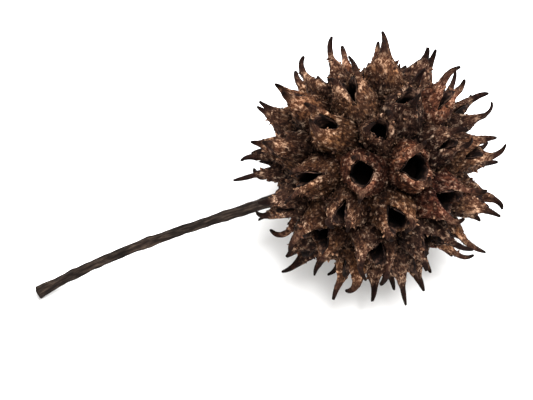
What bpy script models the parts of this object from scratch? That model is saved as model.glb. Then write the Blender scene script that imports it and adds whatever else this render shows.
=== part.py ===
"""A sweetgum seed ball: a round woody head of fused capsules, and the stalk it hung by.

The head is one closed surface. The sphere is parted into one cell for each capsule, and every
cell is raised into a wall round an open mouth, with a pair of curved beaks growing from the
wall's rim. One cell holds the socket of the stalk. Units are metres, +Z is up, and the head lies
on the blunted tips of its lowest beaks, with the stalk's far end just clear of the surface.
"""

import math
import random

import bmesh
import bpy
import numpy as np
from mathutils import Matrix, Vector

# Head
HEAD_CENTRE = Vector((0.0151, 0.0005, 0.0178))
HEAD_RADIUS = 0.0137
CAPSULE_COUNT = 51
GROWTH_SEED = 20
SCATTER = 0.0010
POLE_GAP = 0.4

# Capsule walls: the valleys between them, their rims and the mouths that they stand round
VALLEY_DEPTH = 0.0020
VALLEY_ROUGHNESS = 0.0005
MOUTH_OPENING = (0.0009, 0.0022)
MOUTH_WIDTH = (0.0017, 0.0025)
CELL_SHARE = 0.83
RIM_THICKNESS = 0.00065
RIM_RISE = 0.0025
SHOULDER_DROP = 0.50
SHOULDER_REACH = 0.48
MOUTH_FLOOR = 0.0092
FLOOR_SHARE = 0.6

# Beaks: a broad root on the rim, drawn out into a curved horn. A pair bends together over its
# mouth where its bend is negative, and its slant and sway lean both beaks the same way.
BEAK_LENGTH = (0.0024, 0.0039)
BROKEN_SHARE = 0.08
BROKEN_LENGTH = 0.5
BEAK_LEAN = (math.radians(-4), math.radians(18))
PAIR_BEND = (math.radians(-75), math.radians(15))
PAIR_SLANT = (math.radians(-60), math.radians(60))
PAIR_SWAY = (math.radians(-30), math.radians(30))
OWN_TURN = (math.radians(-16), math.radians(16))
BEND_POWER = 1.2
SWAY_POWER = 1.4
SECTION_LEVELLING = 0.4
BEAK_WIDTHS = (1.0, 0.54, 0.36, 0.26, 0.15)
BEAK_THICKNESSES = (1.0, 1.10, 0.95, 0.78, 0.46)
BEAK_ROOT_HALF_WIDTH = 0.0013
BEAK_CLEARANCE = 0.0004
PAIR_CLEARANCE = 0.0010
PATH_STEPS = 16
MOST_REDRAWS = 80
SHORTER_EACH_REDRAW = 0.008

# Feet: the beaks under the head are drawn to just below the surface and cut off level with it
FOOT_ANGLE = math.radians(25)
FOOT_LEAN_SHARE = 0.3
FOOT_OVERSHOOT = 0.0005

# Stalk
STALK_AZIMUTH = math.radians(13)
STALK_FALL = math.radians(14)
STALK_LENGTH = 0.0370
STALK_DROOP = 0.0044
STALK_BOW = 0.0010
STALK_RADIUS = 0.00072
STALK_ROOT_RADIUS = 0.00098
STALK_END_RADIUS = 0.00105
STALK_ROOT_SHARE = 0.35
STALK_END_SHARE = 0.1
STALK_SIDES = 10
STALK_STEPS = 20
CLEARANCE_STEPS = 160
SOCKET_DEPTH = 0.0042
SOCKET_GAP = 0.0003
COLLAR_RADIUS = 0.0021
COLLAR_RISE = 0.0002

EDGE_PIECES = 2
GOLDEN_ANGLE = math.pi * (3 - math.sqrt(5))


def clear_scene():
    """Removes every object that the scene holds."""
    for obj in list(bpy.data.objects):
        bpy.data.objects.remove(obj, do_unlink=True)


def bark_material(name, colour, roughness):
    """A matt woody finish."""
    material = bpy.data.materials.new(name)
    material.use_nodes = True
    shader = material.node_tree.nodes["Principled BSDF"]
    shader.inputs["Base Color"].default_value = (*colour, 1)
    shader.inputs["Roughness"].default_value = roughness
    shader.inputs["Metallic"].default_value = 0
    return material


def stalk_direction():
    """The way in which the stalk leaves the head's centre: towards -X, and falling."""
    level = math.cos(STALK_FALL)
    return Vector(
        (
            -math.cos(STALK_AZIMUTH) * level,
            -math.sin(STALK_AZIMUTH) * level,
            -math.sin(STALK_FALL),
        )
    )


def capsule_directions(draw):
    """Unit vectors from the head's centre: the stalk's first, then one for each capsule.

    They wind away from the stalk in a golden-angle spiral, as the flowers did, each a little
    out of place.
    """
    stalk = stalk_direction()
    turn = stalk.to_track_quat("Z", "Y")
    directions = [stalk]
    count = CAPSULE_COUNT + 1
    for i in range(1, count):
        height = 1 - 2 * i / (count - POLE_GAP)
        level = math.sqrt(1 - height * height)
        angle = i * GOLDEN_ANGLE
        even = turn @ Vector((level * math.cos(angle), level * math.sin(angle), height))
        shift = Vector([draw.uniform(-1, 1) for _ in range(3)]) * (SCATTER / HEAD_RADIUS)
        directions.append((even + shift).normalized())
    return directions


class Cell:
    """One cell's place on the head, measured from its corners on the unit sphere.

    Its axis points outwards through its middle, and axis_angle is the turn round that axis at
    which two of its corners face each other best.
    """

    def __init__(self, face, draw, out=None):
        corners = [vert.co.normalized() for vert in face.verts]
        count = len(corners)
        sides = [(corners[k - 1], corners[k]) for k in range(count)]
        middle = sum(((a + b) * a.angle(b) for a, b in sides), Vector())
        self.out = out or middle.normalized()
        self.east = Vector((0, 0, 1)).cross(self.out).normalized()
        self.north = self.out.cross(self.east)
        border = min(self.out.angle((a + b) / 2) for a, b in sides)
        self.room = border * HEAD_RADIUS * CELL_SHARE
        angles = [math.atan2(c.dot(self.north), c.dot(self.east)) for c in corners]
        aim = draw.uniform(0, math.tau)
        start = min(angles, key=lambda angle: abs(math.remainder(angle - aim, math.tau)))
        across = start + math.pi
        facing = [across + math.remainder(angle - across, math.tau) for angle in angles]
        facing += [(facing[k - 1] + facing[k]) / 2 for k in range(count)]
        opposite = min(facing, key=lambda angle: abs(angle - across))
        self.axis_angle = (start + opposite - math.pi) / 2

    def spread(self, place):
        """How far a place lies along the cell's line of beaks, and how far across it."""
        ray = place - HEAD_CENTRE
        offset = self.out.angle(ray) * HEAD_RADIUS
        angle = math.atan2(ray.dot(self.north), ray.dot(self.east)) - self.axis_angle
        return Vector((math.cos(angle), math.sin(angle))) * offset

    def point(self, distance, spread):
        """A point that far from the head's centre, spread beside the cell's own axis."""
        angle = self.axis_angle + math.atan2(spread.y, spread.x)
        side = self.east * math.cos(angle) + self.north * math.sin(angle)
        turn = spread.length / distance
        return HEAD_CENTRE + (self.out * math.cos(turn) + side * math.sin(turn)) * distance


class Capsule(Cell):
    """One capsule's cell, its mouth and its beaks' set, worked out before any wall is raised.

    Its angles run round the mouth from one beak, at 0, to the other, at half a turn.
    """

    def __init__(self, face, draw):
        super().__init__(face, draw)
        widest = self.room - RIM_THICKNESS
        self.opening = min(draw.uniform(*MOUTH_OPENING), widest)
        self.width = min(draw.uniform(*MOUTH_WIDTH), widest)
        self.bend = draw.uniform(*PAIR_BEND)
        self.slant = draw.uniform(*PAIR_SLANT)
        self.sway = draw.uniform(*PAIR_SWAY)

    def mouth(self, angle, wall=0.0):
        """The spread of the mouth's edge, with a wall of that thickness round it."""
        return Vector(
            ((self.opening + wall) * math.cos(angle), (self.width + wall) * math.sin(angle))
        )

    def rim_distance(self, angle):
        """How far the rim is from the head's centre: it climbs towards both beaks."""
        return HEAD_RADIUS + RIM_RISE * math.cos(angle) ** 2


class Beak:
    """A beak's centre line, and the frames that its sections stand in."""

    def __init__(self, capsule, side, draw, growth=1.0):
        angle = side * math.pi
        height = HEAD_RADIUS + RIM_RISE
        root = capsule.point(height, capsule.mouth(angle, RIM_THICKNESS / 2))
        outward = capsule.point(height, capsule.mouth(angle, RIM_THICKNESS)) - root
        out = (root - HEAD_CENTRE).normalized()
        outward = (outward - out * outward.dot(out)).normalized()
        across = out.cross(outward)
        lean = draw.uniform(*BEAK_LEAN)
        way = 1 - 2 * side
        bend = (capsule.bend + capsule.slant * way + draw.uniform(*OWN_TURN)) * growth
        sway = capsule.sway * way + draw.uniform(*OWN_TURN)
        length = draw.uniform(*BEAK_LENGTH) * growth
        if draw.random() < BROKEN_SHARE:
            length *= BROKEN_LENGTH
        foot = out.angle(Vector((0, 0, -1))) < FOOT_ANGLE
        if foot:
            lean, bend, sway = (turn * FOOT_LEAN_SHARE for turn in (lean, bend, sway))
        self.frames = []
        for k in range(PATH_STEPS + 1):
            share = k / PATH_STEPS
            tilt = lean + bend * share**BEND_POWER
            aside = sway * share**SWAY_POWER
            along = Matrix.Rotation(aside, 3, outward) @ (
                out * math.cos(tilt) + outward * math.sin(tilt)
            )
            wide = (across - along * across.dot(along)).normalized()
            self.frames.append((wide, along.cross(wide), along))
        if foot:
            fall = -sum(along.z for _, _, along in self.frames[:-1]) / PATH_STEPS
            length = (root.z + FOOT_OVERSHOOT) / fall
        self.points = [root]
        for _, _, along in self.frames[:-1]:
            self.points.append(self.points[-1] + along * (length / PATH_STEPS))

    def frame(self, share):
        """The section frame at that share of the length: width, thickness and run as axes."""
        k = round(share * PATH_STEPS)
        turn = Matrix(self.frames[k]).transposed().to_4x4()
        return Matrix.Translation(self.points[k]) @ turn

    def samples(self):
        """Points down the centre line with the beak's half width there, to measure gaps by."""
        widths = [
            BEAK_ROOT_HALF_WIDTH * np.interp(
                k / PATH_STEPS, np.linspace(0, 1, len(BEAK_WIDTHS)), BEAK_WIDTHS
            )
            for k in range(PATH_STEPS + 1)
        ]
        return np.array([(*p, w) for p, w in zip(self.points, widths)])


def clearance(samples, others):
    """The least gap between the centre lines of two sets of samples, and between their sides."""
    gaps = np.linalg.norm(samples[:, None, :3] - others[None, :, :3], axis=2)
    return gaps.min(), (gaps - samples[:, None, 3] - others[None, :, 3]).min()


def grow_beaks(capsules, draw):
    """A pair of beaks for each capsule, clear of each other, of the stalk and of the rest.

    A beak that would touch another is drawn again, a little shorter each time.
    """
    shares = np.linspace(0, 1, CLEARANCE_STEPS)
    placed = [(*stalk_path(share), stalk_radius(share)) for share in shares]
    for capsule in capsules:
        first = Beak(capsule, 0, draw)
        second = Beak(capsule, 1, draw)
        for redraw in range(MOST_REDRAWS):
            growth = 1 - redraw * SHORTER_EACH_REDRAW
            others = np.array(placed)
            if clearance(first.samples(), others)[1] < BEAK_CLEARANCE:
                first = Beak(capsule, 0, draw, growth)
            elif clearance(second.samples(), others)[1] < BEAK_CLEARANCE:
                second = Beak(capsule, 1, draw, growth)
            elif clearance(first.samples(), second.samples())[0] < PAIR_CLEARANCE:
                first = Beak(capsule, 0, draw, growth)
                second = Beak(capsule, 1, draw, growth)
            else:
                break
        capsule.beaks = [first, second]
        placed += [*first.samples(), *second.samples()]


def cell_mesh(directions):
    """The unit sphere parted into one flat-sided cell for each direction.

    The hull of the directions is a sphere of triangles. A point set in each triangle, with
    every hull edge turned to join two of those points, parts it into cells instead.
    """
    bm = bmesh.new()
    corners = [bm.verts.new(direction) for direction in directions]
    bmesh.ops.convex_hull(bm, input=corners)
    hull_edges = list(bm.edges)
    bmesh.ops.poke(bm, faces=bm.faces[:])
    bmesh.ops.rotate_edges(bm, edges=hull_edges)
    bmesh.ops.dissolve_verts(bm, verts=corners)
    bmesh.ops.recalc_face_normals(bm, faces=bm.faces[:])
    return bm


def cells_in_order(bm, directions):
    """The cells' faces, each at its direction's place in the list."""
    faces = list(bm.faces)
    ordered = []
    for direction in directions:
        ordered.append(min(faces, key=lambda f: f.calc_center_median().angle(direction)))
    return ordered


def shape_valleys(bm, draw):
    """Sets the cells' borders at the bottoms of the valleys, which run a little unevenly."""
    for vert in sorted(bm.verts, key=lambda v: (round(v.co.z, 4), round(v.co.x, 4))):
        depth = VALLEY_DEPTH + draw.uniform(-1, 1) * VALLEY_ROUGHNESS
        vert.co = HEAD_CENTRE + vert.co.normalized() * (HEAD_RADIUS - depth)
    bmesh.ops.subdivide_edges(bm, edges=bm.edges[:], cuts=EDGE_PIECES - 1)


def corner_angles(face, cell):
    """An even angle round the cell for each corner, with 0 at the corner nearest its line."""
    count = len(face.verts)
    spreads = [cell.spread(vert.co) for vert in face.verts]
    around = [abs(math.atan2(spread.y, spread.x)) for spread in spreads]
    first = around.index(min(around))
    return [math.tau * (k - first) / count for k in range(count)]


def raise_ring(bm, face, places):
    """Extrudes a cell's face once and sets its corners on the next ring. Returns the face."""
    made = bmesh.ops.extrude_discrete_faces(bm, faces=[face])["faces"][0]
    for vert, place in zip(made.verts, places):
        vert.co = place
    return made


def shoulder_places(face, capsule, angles):
    """The plump shoulder of a capsule's wall, between its valley and its rim."""
    places = []
    for vert, angle in zip(face.verts, angles):
        rim = capsule.mouth(angle, RIM_THICKNESS)
        spread = rim + (capsule.spread(vert.co) - rim) * SHOULDER_REACH
        top = capsule.rim_distance(angle)
        drop = (top - (vert.co - HEAD_CENTRE).length) * SHOULDER_DROP
        places.append(capsule.point(top - drop, spread))
    return places


def build_capsule(bm, face, capsule):
    """Wall, rim, mouth and beaks of one capsule, raised from its cell."""
    angles = corner_angles(face, capsule)

    def rim_places(wall):
        return [capsule.point(capsule.rim_distance(a), capsule.mouth(a, wall)) for a in angles]

    top = raise_ring(bm, face, shoulder_places(face, capsule, angles))
    top = raise_ring(bm, top, rim_places(RIM_THICKNESS))
    top = raise_ring(bm, top, rim_places(0))
    rim = [next(f for f in edge.link_faces if f is not top) for edge in top.edges]
    floor = [capsule.point(MOUTH_FLOOR, capsule.mouth(a) * FLOOR_SHARE) for a in angles]
    raise_ring(bm, top, floor)
    for beak in capsule.beaks:
        rim.sort(key=lambda f: (f.calc_center_median() - beak.points[0]).length)
        draw_out(bm, rim[:EDGE_PIECES], beak)
        rim = rim[EDGE_PIECES:]


def whole_region(faces):
    """The faces with all their edges and corners."""
    edges = dict.fromkeys(edge for face in faces for edge in face.edges)
    verts = dict.fromkeys(vert for face in faces for vert in face.verts)
    return [*faces, *edges, *verts]


def draw_out(bm, faces, beak):
    """Draws the rim faces under a beak out along its centre line, section by section."""
    last = len(BEAK_WIDTHS) - 1
    for k in range(last):
        made = bmesh.ops.extrude_face_region(bm, geom=whole_region(faces))["geom"]
        verts = [g for g in made if isinstance(g, bmesh.types.BMVert)]
        faces = [g for g in made if isinstance(g, bmesh.types.BMFace)]
        shrink = Matrix.Diagonal(
            (
                BEAK_WIDTHS[k + 1] / BEAK_WIDTHS[k],
                BEAK_THICKNESSES[k + 1] / BEAK_THICKNESSES[k],
                SECTION_LEVELLING,
                1,
            )
        )
        step = beak.frame((k + 1) / last) @ shrink @ beak.frame(k / last).inverted()
        bmesh.ops.transform(bm, matrix=step, verts=verts)


def build_socket(bm, face, socket):
    """The collar round the stalk and the plain hole that the stalk stands in."""
    angles = corner_angles(face, socket)
    brim = HEAD_RADIUS + COLLAR_RISE
    hole = STALK_ROOT_RADIUS + SOCKET_GAP
    top = face
    for distance, radius in (
        (brim, COLLAR_RADIUS),
        (brim, hole),
        (HEAD_RADIUS - SOCKET_DEPTH, hole),
    ):
        sides = [Vector((math.cos(a), math.sin(a))) * radius for a in angles]
        top = raise_ring(bm, top, [socket.point(distance, side) for side in sides])


def level_feet(bm):
    """Cuts the foot beaks off level with the surface that the head lies on."""
    geometry = bm.verts[:] + bm.edges[:] + bm.faces[:]
    bmesh.ops.bisect_plane(
        bm, geom=geometry, plane_co=(0, 0, 0), plane_no=(0, 0, -1), clear_outer=True
    )
    bmesh.ops.holes_fill(bm, edges=[e for e in bm.edges if e.is_boundary])
    bmesh.ops.triangulate(bm, faces=bm.faces[:])


def add_object(name, bm, material):
    """Puts a finished mesh into the scene as one object."""
    mesh = bpy.data.meshes.new(name)
    bm.to_mesh(mesh)
    bm.free()
    mesh.materials.append(material)
    mesh.shade_smooth()
    mesh.set_sharp_from_angle(angle=math.radians(40))
    obj = bpy.data.objects.new(name, mesh)
    bpy.context.scene.collection.objects.link(obj)
    return obj


def build_head():
    """The seed head, with the socket of its stalk."""
    draw = random.Random(GROWTH_SEED)
    directions = capsule_directions(draw)
    bm = cell_mesh(directions)
    faces = cells_in_order(bm, directions)
    socket = Cell(faces[0], draw, stalk_direction())
    capsules = [Capsule(face, draw) for face in faces[1:]]
    grow_beaks(capsules, draw)
    shape_valleys(bm, draw)
    build_socket(bm, faces[0], socket)
    for face, capsule in zip(faces[1:], capsules):
        build_capsule(bm, face, capsule)
    level_feet(bm)
    material = bark_material("beaked capsules", (0.115, 0.052, 0.026), 0.72)
    return add_object("seed_head", bm, material)


def stalk_path(share):
    """A point on the stalk's centre line, from its root in the socket to its far end."""
    out = stalk_direction()
    aside = Vector((0, 0, 1)).cross(out).normalized()
    run = SOCKET_DEPTH + STALK_LENGTH
    free = max(0.0, (share * run - SOCKET_DEPTH) / STALK_LENGTH)
    start = HEAD_CENTRE + out * (HEAD_RADIUS - SOCKET_DEPTH + SOCKET_GAP)
    straight = start + out * (run - SOCKET_GAP) * share
    bow = aside * (STALK_BOW * math.sin(math.pi * free) * free)
    return straight - bow - Vector((0, 0, STALK_DROOP * free * free))


def stalk_radius(share):
    """The stalk is stoutest at its root and swells again where it broke from the twig."""
    near_root = max(0.0, 1 - share / STALK_ROOT_SHARE)
    near_end = max(0.0, 1 - (1 - share) / STALK_END_SHARE)
    root = (STALK_ROOT_RADIUS - STALK_RADIUS) * near_root
    end = (STALK_END_RADIUS - STALK_RADIUS) * near_end**2
    return STALK_RADIUS + root + end


def stalk_frame(share):
    """The section frame on the stalk's centre line, with its run as the third axis."""
    step = 0.001
    ahead = stalk_path(min(1, share + step)) - stalk_path(max(0, share - step))
    turn = ahead.normalized().to_track_quat("Z", "Y")
    return Matrix.Translation(stalk_path(share)) @ turn.to_matrix().to_4x4()


def build_stalk():
    """The stalk, a slim woody rod drawn out along its centre line."""
    bm = bmesh.new()
    bmesh.ops.create_circle(
        bm,
        cap_ends=True,
        segments=STALK_SIDES,
        radius=stalk_radius(0),
        matrix=stalk_frame(0),
    )
    face = bm.faces[:][0]
    for k in range(STALK_STEPS):
        made = bmesh.ops.extrude_face_region(bm, geom=whole_region([face]))["geom"]
        verts = [g for g in made if isinstance(g, bmesh.types.BMVert)]
        face = next(g for g in made if isinstance(g, bmesh.types.BMFace))
        here, there = k / STALK_STEPS, (k + 1) / STALK_STEPS
        growth = stalk_radius(there) / stalk_radius(here)
        shrink = Matrix.Diagonal((growth, growth, 1, 1))
        step = stalk_frame(there) @ shrink @ stalk_frame(here).inverted()
        bmesh.ops.transform(bm, matrix=step, verts=verts)
    bmesh.ops.holes_fill(bm, edges=[e for e in bm.edges if e.is_boundary])
    bmesh.ops.recalc_face_normals(bm, faces=bm.faces[:])
    material = bark_material("stalk bark", (0.060, 0.040, 0.028), 0.65)
    return add_object("stalk", bm, material)


clear_scene()
build_head()
build_stalk()
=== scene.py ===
import math
import random

import bmesh
import bpy
import numpy as np
from mathutils import Matrix, Vector, kdtree, noise


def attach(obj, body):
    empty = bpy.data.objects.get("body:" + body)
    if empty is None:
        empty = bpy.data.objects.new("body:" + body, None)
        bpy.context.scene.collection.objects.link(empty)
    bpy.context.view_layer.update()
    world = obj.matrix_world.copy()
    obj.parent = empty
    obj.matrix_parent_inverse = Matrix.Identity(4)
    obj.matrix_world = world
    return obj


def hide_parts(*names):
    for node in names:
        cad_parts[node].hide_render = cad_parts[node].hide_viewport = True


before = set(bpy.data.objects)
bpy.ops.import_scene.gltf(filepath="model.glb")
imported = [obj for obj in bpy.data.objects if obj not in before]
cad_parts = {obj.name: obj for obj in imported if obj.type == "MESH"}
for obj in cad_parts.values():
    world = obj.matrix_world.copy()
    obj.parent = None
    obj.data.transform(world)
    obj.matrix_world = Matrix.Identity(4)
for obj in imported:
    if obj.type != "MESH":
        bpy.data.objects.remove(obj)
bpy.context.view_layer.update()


# The seed head: about fifty woody capsules, grown together into one ball. It is one skin here,
# as it is on the tree: the ball is parted into one cell for each capsule, and every cell is
# raised into a plump wall round an open mouth, with two beaks drawn out of the wall's rim.
HEAD_CENTRE = Vector((0.0151, 0.0005, 0.0178))
HEAD_RADIUS = 0.0137
CAPSULE_COUNT = 51
GROWTH_SEED = 20
# How far a capsule grows from its even place, and the gap at the far end of the spiral
SCATTER = 0.0010
POLE_GAP = 0.4
GOLDEN_ANGLE = math.pi * (3 - math.sqrt(5))

VALLEY_DEPTH = 0.0020
VALLEY_ROUGHNESS = 0.0005
# Half of a mouth's opening towards its beaks, and half of its width: the least and the most
MOUTH_OPENING = (0.0009, 0.0022)
MOUTH_WIDTH = (0.0017, 0.0025)
# The share of the way to its cell's border that a capsule's rim may reach
CELL_SHARE = 0.83
RIM_THICKNESS = 0.00065
RIM_RISE = 0.0025
MOUTH_FLOOR = 0.0092
FLOOR_SHARE = 0.6
CELL_EDGE_PIECES = 4

# Each ring of a wall: its drop from the rim to the valley, and its reach from rim to border
WALL_RINGS = ((0.80, 0.73), (0.55, 0.46), (0.25, 0.19))
# The walls' ribs: how far they stand out, and how finely they run round a mouth
RIB_SHARE = 0.27
RIB_SCALE = 5.5
# How far the middle of a lip stands over its two edges
LIP_RISE = 0.00010
# The mouths' edges: how sharply their ends are pinched, and how far they tore out of true
MOUTH_PINCH = 0.8
TEAR_SCALE = 1.9
TEAR_SHARE = 0.22
TEAR_RISE = 0.00070
RIM_TEAR_TURN = 1.0
# Each ring inside a mouth: its way down to the floor, and its share of the mouth's size
MOUTH_RINGS = ((0.20, 1.04), (0.58, 0.90))

# The beaks: their length, and how far they turn as they grow, the least and the most. Some turns
# are shared by a capsule's two beaks, and each beak has a lean and a little turn of its own.
BEAK_LENGTH = (0.0024, 0.0039)
BROKEN_SHARE = 0.08
BROKEN_LENGTH = 0.5
BEAK_LEAN = (math.radians(-4), math.radians(18))
PAIR_BEND = (math.radians(-75), math.radians(15))
PAIR_SLANT = (math.radians(-60), math.radians(60))
PAIR_SWAY = (math.radians(-30), math.radians(30))
OWN_TURN = (math.radians(-16), math.radians(16))
BEND_POWER = 1.2
SWAY_POWER = 1.4
BEAK_WIDTHS = (1.0, 0.54, 0.36, 0.26, 0.15)
BEAK_THICKNESSES = (1.0, 1.10, 0.95, 0.78, 0.46)
BEAK_ROOT_HALF_WIDTH = 0.0013
BEAK_CLEARANCE = 0.0004
PAIR_CLEARANCE = 0.0010
BEAK_STEPS = 8
# How much of a section's unevenness, which the rim gives it, the next section keeps
SECTION_LEVELLING = 0.63
PATH_STEPS = 16
MOST_REDRAWS = 80
SHORTER_EACH_REDRAW = 0.008
# The beaks this near the bottom are feet: they lean less, and are grown long and cut level
FOOT_ANGLE = math.radians(25)
FOOT_LEAN_SHARE = 0.3
FOOT_OVERSHOOT = 0.0005

# The stalk's line and thickness, and its socket in the head: the beaks beside it grow clear of it
STALK_AZIMUTH = math.radians(13)
STALK_FALL = math.radians(14)
STALK_LENGTH = 0.0370
STALK_DROOP = 0.0044
STALK_BOW = 0.0010
STALK_RADIUS = 0.00072
STALK_ROOT_RADIUS = 0.00098
STALK_END_RADIUS = 0.00105
STALK_ROOT_SHARE = 0.35
STALK_END_SHARE = 0.1
CLEARANCE_STEPS = 160
SOCKET_DEPTH = 0.0042
SOCKET_GAP = 0.0003
COLLAR_RADIUS = 0.0021
COLLAR_RISE = 0.0002


def stalk_direction():
    """The way the stalk leaves the head: to the left, a little forward, and falling."""
    level = math.cos(STALK_FALL)
    return Vector(
        (
            -math.cos(STALK_AZIMUTH) * level,
            -math.sin(STALK_AZIMUTH) * level,
            -math.sin(STALK_FALL),
        )
    )


def stalk_path(share):
    """The stalk's centre line, from 0 at its root in the socket to 1 at its broken end."""
    out = stalk_direction()
    aside = Vector((0, 0, 1)).cross(out).normalized()
    run = SOCKET_DEPTH + STALK_LENGTH
    free = max(0.0, (share * run - SOCKET_DEPTH) / STALK_LENGTH)
    start = HEAD_CENTRE + out * (HEAD_RADIUS - SOCKET_DEPTH + SOCKET_GAP)
    straight = start + out * (run - SOCKET_GAP) * share
    bow = aside * (STALK_BOW * math.sin(math.pi * free) * free)
    return straight - bow - Vector((0, 0, STALK_DROOP * free * free))


def stalk_radius(share):
    """The stalk's radius: it swells towards its root and at its broken end."""
    near_root = max(0.0, 1 - share / STALK_ROOT_SHARE)
    near_end = max(0.0, 1 - (1 - share) / STALK_END_SHARE)
    root = (STALK_ROOT_RADIUS - STALK_RADIUS) * near_root
    end = (STALK_END_RADIUS - STALK_RADIUS) * near_end**2
    return STALK_RADIUS + root + end


def capsule_directions(draw):
    """The stalk's direction, then one for each capsule, in a spiral that winds away from it."""
    stalk = stalk_direction()
    turn = stalk.to_track_quat("Z", "Y")
    directions = [stalk]
    count = CAPSULE_COUNT + 1
    for i in range(1, count):
        height = 1 - 2 * i / (count - POLE_GAP)
        level = math.sqrt(1 - height * height)
        angle = i * GOLDEN_ANGLE
        even = turn @ Vector((level * math.cos(angle), level * math.sin(angle), height))
        shift = Vector([draw.uniform(-1, 1) for _ in range(3)]) * (SCATTER / HEAD_RADIUS)
        directions.append((even + shift).normalized())
    return directions


class Cell:
    """A cell of the ball, with the turn at which two of its corners face each other best."""

    def __init__(self, face, draw, out=None):
        corners = [vert.co.normalized() for vert in face.verts]
        count = len(corners)
        sides = [(corners[k - 1], corners[k]) for k in range(count)]
        middle = sum(((a + b) * a.angle(b) for a, b in sides), Vector())
        self.out = out or middle.normalized()
        self.east = Vector((0, 0, 1)).cross(self.out).normalized()
        self.north = self.out.cross(self.east)
        border = min(self.out.angle((a + b) / 2) for a, b in sides)
        self.room = border * HEAD_RADIUS * CELL_SHARE
        angles = [math.atan2(c.dot(self.north), c.dot(self.east)) for c in corners]
        aim = draw.uniform(0, math.tau)
        start = min(angles, key=lambda angle: abs(math.remainder(angle - aim, math.tau)))
        across = start + math.pi
        facing = [across + math.remainder(angle - across, math.tau) for angle in angles]
        facing += [(facing[k - 1] + facing[k]) / 2 for k in range(count)]
        opposite = min(facing, key=lambda angle: abs(angle - across))
        self.axis_angle = (start + opposite - math.pi) / 2

    def spread(self, place):
        """How far a place lies along the cell's line of beaks, and how far across it."""
        ray = place - HEAD_CENTRE
        offset = self.out.angle(ray) * HEAD_RADIUS
        angle = math.atan2(ray.dot(self.north), ray.dot(self.east)) - self.axis_angle
        return Vector((math.cos(angle), math.sin(angle))) * offset

    def point(self, distance, spread):
        """A point that far from the head's centre, spread beside the cell's own axis."""
        angle = self.axis_angle + math.atan2(spread.y, spread.x)
        side = self.east * math.cos(angle) + self.north * math.sin(angle)
        turn = spread.length / distance
        return HEAD_CENTRE + (self.out * math.cos(turn) + side * math.sin(turn)) * distance


class Capsule(Cell):
    """One capsule's cell, its mouth and its beaks' set, worked out before any wall is raised.

    Its angles run round the mouth from one beak, at 0, to the other, at half a turn.
    """

    def __init__(self, face, draw):
        super().__init__(face, draw)
        widest = self.room - RIM_THICKNESS
        self.opening = min(draw.uniform(*MOUTH_OPENING), widest)
        self.width = min(draw.uniform(*MOUTH_WIDTH), widest)
        self.bend = draw.uniform(*PAIR_BEND)
        self.slant = draw.uniform(*PAIR_SLANT)
        self.sway = draw.uniform(*PAIR_SWAY)

    def mouth(self, angle, wall=0.0):
        """The spread of the mouth's edge, with a wall of that thickness round it."""
        return Vector(
            ((self.opening + wall) * math.cos(angle), (self.width + wall) * math.sin(angle))
        )

    def rim_distance(self, angle):
        """How far the rim is from the head's centre: it climbs towards both beaks."""
        return HEAD_RADIUS + RIM_RISE * math.cos(angle) ** 2

    def tear(self, angle):
        """How far out of true the mouth tore there, from -1 to 1."""
        around = Vector((math.cos(angle), math.sin(angle), self.sway * math.tau))
        return noise.noise(around * TEAR_SCALE) * math.sin(angle) ** 2

    def torn_mouth(self, angle, wall=0.0):
        """The mouth's edge as it tore open: pinched at its ends, and a little uneven."""
        pinch = abs(math.cos(angle)) ** MOUTH_PINCH
        along = (self.opening * pinch + wall) * math.cos(angle)
        across = (self.width + wall) * math.sin(angle)
        return Vector((along, across)) * (1 + TEAR_SHARE * self.tear(angle))

    def torn_rim(self, angle):
        """How far the rim is from the head's centre where it tore."""
        return self.rim_distance(angle) + TEAR_RISE * self.tear(angle + RIM_TEAR_TURN)


class Beak:
    """A beak's centre line, and the frames that its sections stand in."""

    def __init__(self, capsule, side, draw, growth=1.0):
        angle = side * math.pi
        height = HEAD_RADIUS + RIM_RISE
        root = capsule.point(height, capsule.mouth(angle, RIM_THICKNESS / 2))
        outward = capsule.point(height, capsule.mouth(angle, RIM_THICKNESS)) - root
        out = (root - HEAD_CENTRE).normalized()
        outward = (outward - out * outward.dot(out)).normalized()
        across = out.cross(outward)
        lean = draw.uniform(*BEAK_LEAN)
        way = 1 - 2 * side
        bend = (capsule.bend + capsule.slant * way + draw.uniform(*OWN_TURN)) * growth
        sway = capsule.sway * way + draw.uniform(*OWN_TURN)
        length = draw.uniform(*BEAK_LENGTH) * growth
        if draw.random() < BROKEN_SHARE:
            length *= BROKEN_LENGTH
        foot = out.angle(Vector((0, 0, -1))) < FOOT_ANGLE
        if foot:
            lean, bend, sway = (turn * FOOT_LEAN_SHARE for turn in (lean, bend, sway))
        self.frames = []
        for k in range(PATH_STEPS + 1):
            share = k / PATH_STEPS
            tilt = lean + bend * share**BEND_POWER
            aside = sway * share**SWAY_POWER
            along = Matrix.Rotation(aside, 3, outward) @ (
                out * math.cos(tilt) + outward * math.sin(tilt)
            )
            wide = (across - along * across.dot(along)).normalized()
            self.frames.append((wide, along.cross(wide), along))
        if foot:
            fall = -sum(along.z for _, _, along in self.frames[:-1]) / PATH_STEPS
            length = (root.z + FOOT_OVERSHOOT) / fall
        self.points = [root]
        for _, _, along in self.frames[:-1]:
            self.points.append(self.points[-1] + along * (length / PATH_STEPS))

    def frame(self, share):
        """The frame of the section at a share of the beak's length, with Z along the beak."""
        k = round(share * PATH_STEPS)
        turn = Matrix(self.frames[k]).transposed().to_4x4()
        return Matrix.Translation(self.points[k]) @ turn

    def samples(self):
        """Points along the centre line, each with the beak's half width there."""
        shares = np.linspace(0, 1, PATH_STEPS + 1)
        widths = np.interp(shares, np.linspace(0, 1, len(BEAK_WIDTHS)), BEAK_WIDTHS)
        return np.array(
            [(*p, BEAK_ROOT_HALF_WIDTH * w) for p, w in zip(self.points, widths)]
        )


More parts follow.
